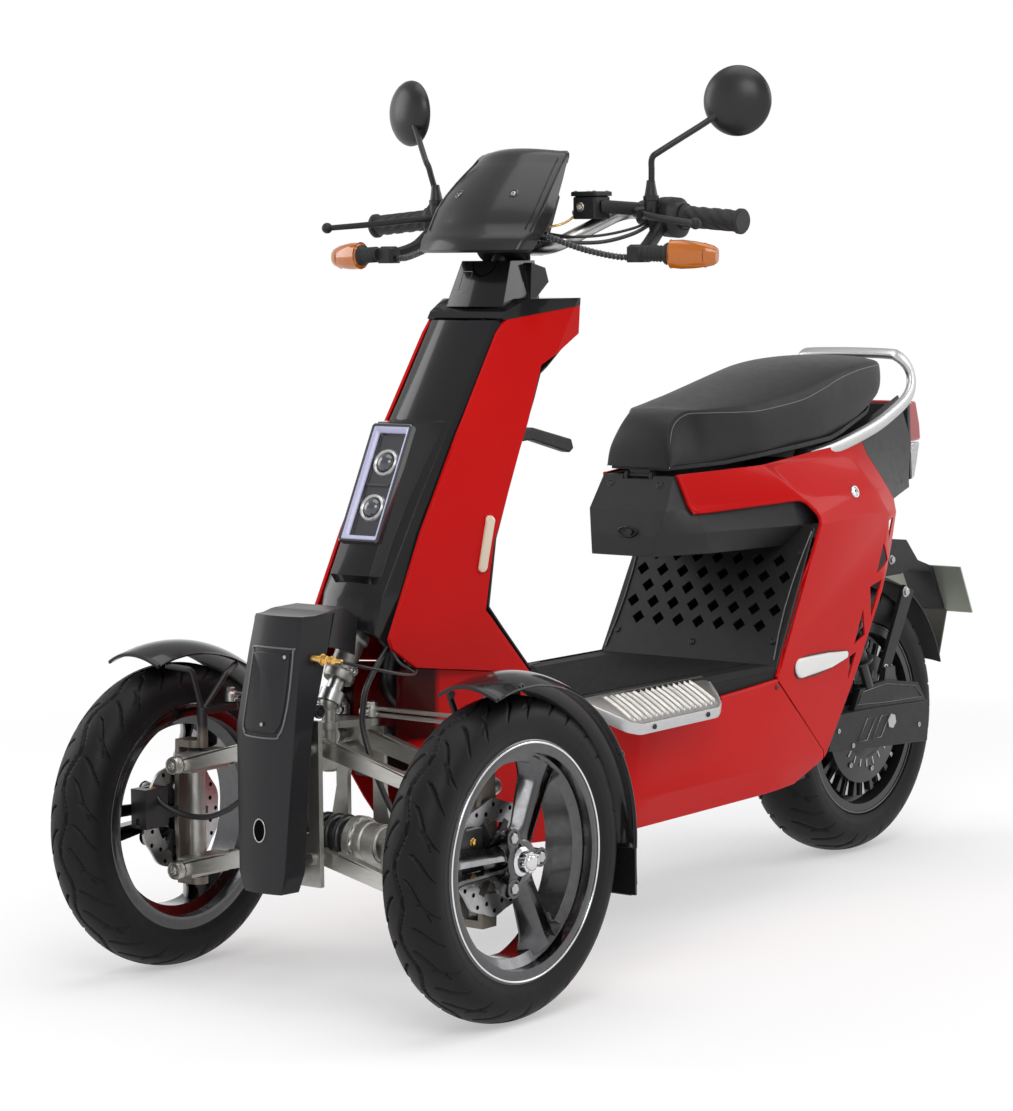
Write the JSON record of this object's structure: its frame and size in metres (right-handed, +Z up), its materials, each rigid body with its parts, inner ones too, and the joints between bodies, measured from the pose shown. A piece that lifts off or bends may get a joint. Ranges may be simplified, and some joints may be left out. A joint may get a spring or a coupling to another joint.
{
  "type": "tilting three-wheel electric scooter",
  "caption": "Step-through scooter with paired steered front wheels on open double arms, a hub-motor rear wheel, a hinged seat over a storage tub and a flat footboard.",
  "frame": {"origin": "on the floor, in the middle of the vehicle's plan", "axes": "+Y towards the rear, +X to the vehicle's left, +Z up; the vehicle faces -Y"},
  "size_m": [0.7336, 1.8839, 1.3167],
  "materials": {
    "red_panel": "gloss",
    "gloss_black": "gloss",
    "matte_black": "fine grain",
    "satin_grey": "satin",
    "bare_aluminium": "machined",
    "black_steel": "satin",
    "silver_steel": "satin",
    "gunmetal": "gloss",
    "tyre": "moulded",
    "grip_rubber": "ribbed",
    "seat_vinyl": "grained",
    "amber_lens": "clear",
    "clear_lens": "clear",
    "red_lens": "clear",
    "blank_plate": "satin",
    "battery_case": "plain"
  },
  "bodies": {
    "root": {"main_frame": "black_steel", "bulkhead_plates": "bare_aluminium", "upper_arms": "bare_aluminium", "lower_arms": "bare_aluminium", "damper": "silver_steel", "damper_spring": "black_steel", "carriers": "bare_aluminium", "fork_cover": "gloss_black", "front_cover": "gloss_black", "headlamp": "clear_lens", "leg_panel_left": "red_panel", "leg_panel_right": "red_panel", "inner_shield": "matte_black", "bag_hook": "matte_black", "neck_cover": "gloss_black", "belly_panel_left": "red_panel", "belly_panel_right": "red_panel", "belly_tray": "matte_black", "battery_block": "battery_case", "floor_board": "matte_black", "footrests": "bare_aluminium", "seat_box": "matte_black", "grille_panel": "matte_black", "rear_panel_left": "red_panel", "rear_panel_right": "red_panel", "tail_panels": "satin_grey", "tail_lamp": "red_lens", "grab_rail": "silver_steel", "swingarm": "black_steel", "swingarm_cover": "matte_black", "rear_shocks": "black_steel", "rear_fender": "matte_black", "number_plate": "blank_plate"},
    "steering": {"steering_stem": "silver_steel", "handlebar": "silver_steel", "grips": "grip_rubber", "controls": "black_steel", "mirrors": "black_steel", "signal_stems": "black_steel", "signal_lenses": "amber_lens", "windshield": "satin_grey", "display": "matte_black"},
    "relay": {"relay": "silver_steel"},
    "tie_rod_left": {"tie_rod_left": "silver_steel"},
    "tie_rod_right": {"tie_rod_right": "silver_steel"},
    "knuckle_left": {"knuckle_left": "black_steel", "caliper_left": "black_steel", "fender_left": "gloss_black"},
    "knuckle_right": {"knuckle_right": "black_steel", "caliper_right": "black_steel", "fender_right": "gloss_black"},
    "wheel_front_left": {"front_rim_left": "gunmetal", "front_tyre_left": "tyre"},
    "wheel_front_right": {"front_rim_right": "gunmetal", "front_tyre_right": "tyre"},
    "wheel_rear": {"rear_rim": "black_steel", "rear_tyre": "tyre"},
    "seat": {"seat_pan": "matte_black", "seat_cushion": "seat_vinyl"}
  },
  "joints": [
    {"name": "steering", "type": "hinge", "parent": "root", "child": "steering", "pos_m": [0, -0.715, 0.414], "axis": [0, 0.5446, 0.8387], "range_deg": [-30, 30]},
    {"name": "relay_turn", "type": "hinge", "parent": "root", "child": "relay", "pos_m": [0, -0.715, 0.378], "axis": [0, 0, 1], "range_deg": [-30, 30]},
    {"name": "knuckle_left_turn", "type": "hinge", "parent": "root", "child": "knuckle_left", "pos_m": [0.26, -0.715, 0.2245], "axis": [0, 0, 1], "range_deg": [-30, 30]},
    {"name": "knuckle_right_turn", "type": "hinge", "parent": "root", "child": "knuckle_right", "pos_m": [-0.26, -0.715, 0.2245], "axis": [0, 0, 1], "range_deg": [-30, 30]},
    {"name": "tie_rod_left_turn", "type": "hinge", "parent": "relay", "child": "tie_rod_left", "pos_m": [0.028, -0.653, 0.396], "axis": [0, 0, 1], "range_deg": [-35.61, 35.61]},
    {"name": "tie_rod_right_turn", "type": "hinge", "parent": "relay", "child": "tie_rod_right", "pos_m": [-0.028, -0.653, 0.396], "axis": [0, 0, 1], "range_deg": [-35.61, 35.61]},
    {"name": "wheel_front_left_spin", "type": "hinge", "parent": "knuckle_left", "child": "wheel_front_left", "pos_m": [0.3115, -0.715, 0.2245], "axis": [1, 0, 0], "continuous": true},
    {"name": "wheel_front_right_spin", "type": "hinge", "parent": "knuckle_right", "child": "wheel_front_right", "pos_m": [-0.3115, -0.715, 0.2245], "axis": [1, 0, 0], "continuous": true},
    {"name": "wheel_rear_spin", "type": "hinge", "parent": "root", "child": "wheel_rear", "pos_m": [0, 0.633, 0.2335], "axis": [1, 0, 0], "continuous": true},
    {"name": "seat_open", "type": "hinge", "parent": "root", "child": "seat", "pos_m": [0, 0.0439, 0.6904], "axis": [1, 0, 0], "range_deg": [0, 75]}
  ],
  "couplings": [
    {"joint": "relay_turn", "follows": "steering", "ratio": 1},
    {"joint": "knuckle_left_turn", "follows": "steering", "ratio": 1},
    {"joint": "knuckle_right_turn", "follows": "steering", "ratio": 1},
    {"joint": "tie_rod_left_turn", "follows": "steering", "ratio": -1.1836},
    {"joint": "tie_rod_right_turn", "follows": "steering", "ratio": -1.1836}
  ]
}
